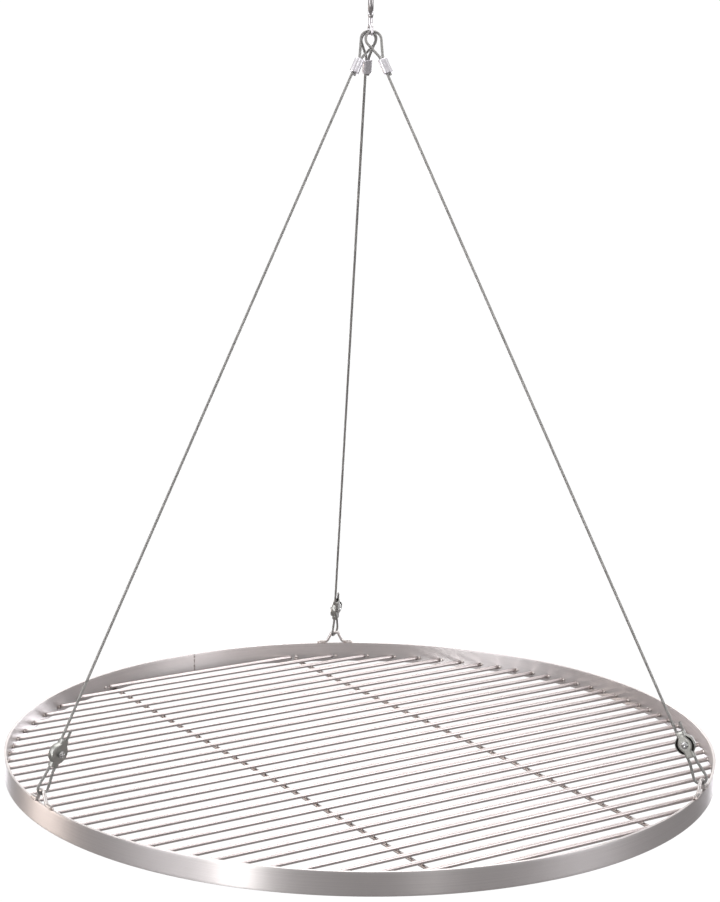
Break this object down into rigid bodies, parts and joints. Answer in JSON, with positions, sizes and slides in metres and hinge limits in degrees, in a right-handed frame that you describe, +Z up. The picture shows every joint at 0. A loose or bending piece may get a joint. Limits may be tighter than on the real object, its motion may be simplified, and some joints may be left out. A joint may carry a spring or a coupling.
{
  "type": "hanging grill grate",
  "caption": "Round grill grate in a flat-bar hoop, hung by wire-rope slings with rope clips from the swivel eye of a snap hook.",
  "frame": {"origin": "inner crown of the snap hook, the point the grate hangs from, over the middle of the hoop", "axes": "+Z up, +X along the grill rods"},
  "size_m": [0.8049, 0.8005, 0.882],
  "materials": {
    "hoop_steel": "brushed, with heat tint by the welds",
    "rod_steel": "drawn and polished",
    "weld_steel": "raw weld bead",
    "bail_steel": "drawn",
    "rope_steel": "twisted wire strands",
    "ferrule_alloy": "crimped, bright",
    "clip_steel": "pressed sheet, satin",
    "fastener_steel": "turned",
    "hook_steel": "polished",
    "gate_steel": "polished",
    "pin_steel": "turned",
    "spring_steel": "wire",
    "swivel_steel": "polished"
  },
  "bodies": {
    "hook": {"hook_body": "hook_steel"},
    "gate": {"gate": "gate_steel", "gate_pin": "pin_steel", "gate_spring": "spring_steel"},
    "swivel": {"swivel_eye": "swivel_steel", "swivel_rivet": "swivel_steel"},
    "grate": {"hoop": "hoop_steel", "hoop_seam_weld": "weld_steel", "rod_end_welds": "weld_steel", "cross_rod_welds": "weld_steel", "bail_welds": "weld_steel", "cross_rod_1": "rod_steel", "cross_rod_2": "rod_steel", "grill_rods_0": "rod_steel", "grill_rods_1": "rod_steel", "grill_rods_2": "rod_steel", "grill_rods_3": "rod_steel", "grill_rods_4": "rod_steel", "grill_rods_5": "rod_steel", "grill_rods_6": "rod_steel", "grill_rods_7": "rod_steel", "grill_rods_8": "rod_steel", "grill_rods_9": "rod_steel", "grill_rods_10": "rod_steel", "grill_rods_11": "rod_steel", "grill_rods_12": "rod_steel", "grill_rods_13": "rod_steel", "grill_rods_14": "rod_steel", "grill_rods_15": "rod_steel", "grill_rods_16": "rod_steel", "grill_rods_17": "rod_steel", "bail_1": "bail_steel", "bail_2": "bail_steel", "bail_3": "bail_steel", "rope_1": "rope_steel", "rope_2": "rope_steel", "rope_3": "rope_steel", "rope_eye_1": "rope_steel", "rope_eye_2": "rope_steel", "rope_eye_3": "rope_steel", "rope_loop_1": "rope_steel", "rope_loop_2": "rope_steel", "rope_loop_3": "rope_steel", "ferrule_1": "ferrule_alloy", "ferrule_2": "ferrule_alloy", "ferrule_3": "ferrule_alloy"},
    "clip_1": {"clip_front_1": "clip_steel", "clip_back_1": "clip_steel", "clip_nut_1": "fastener_steel"},
    "screw_1": {"clip_screw_1": "fastener_steel"},
    "clip_2": {"clip_front_2": "clip_steel", "clip_back_2": "clip_steel", "clip_nut_2": "fastener_steel"},
    "screw_2": {"clip_screw_2": "fastener_steel"},
    "clip_3": {"clip_front_3": "clip_steel", "clip_back_3": "clip_steel", "clip_nut_3": "fastener_steel"},
    "screw_3": {"clip_screw_3": "fastener_steel"}
  },
  "joints": [
    {"name": "gate_hinge", "type": "hinge", "parent": "hook", "child": "gate", "pos_m": [0.00599, 0.00923, -0.0284], "axis": [0.8387, -0.5446, 0], "range_deg": [0, 35], "stiffness_Nm_per_rad": 0.05, "springref_deg": -17.19},
    {"name": "swivel_turn", "type": "hinge", "parent": "hook", "child": "swivel", "pos_m": [0, 0, -0.049], "axis": [0, 0, 1], "continuous": true},
    {"name": "grate_swing", "type": "hinge", "parent": "swivel", "child": "grate", "pos_m": [0, 0, -0.06615], "axis": [0.2588, 0.9659, 0], "range_deg": [-15, 15]},
    {"name": "clip_slide_1", "type": "slide", "parent": "grate", "child": "clip_1", "axis": [-0.2126, -0.3987, 0.8921], "range_m": [-0.003, 0.008]},
    {"name": "clip_slide_2", "type": "slide", "parent": "grate", "child": "clip_2", "axis": [0.4612, 0.0173, 0.8871], "range_m": [-0.003, 0.008]},
    {"name": "clip_slide_3", "type": "slide", "parent": "grate", "child": "clip_3", "axis": [-0.2444, 0.3822, 0.8911], "range_m": [-0.003, 0.008]},
    {"name": "screw_turn_1", "type": "hinge", "parent": "clip_1", "child": "screw_1", "pos_m": [0.1783, 0.33539, -0.80013], "axis": [-0.5273, 0.8154, 0.2388], "continuous": true},
    {"name": "screw_turn_2", "type": "hinge", "parent": "clip_2", "child": "screw_2", "pos_m": [-0.37919, -0.01319, -0.80034], "axis": [-0.2639, 0.9572, 0.1185], "continuous": true},
    {"name": "screw_turn_3", "type": "hinge", "parent": "clip_3", "child": "screw_3", "pos_m": [0.20106, -0.32217, -0.80017], "axis": [0.8478, 0.5304, 0.0051], "continuous": true}
  ]
}
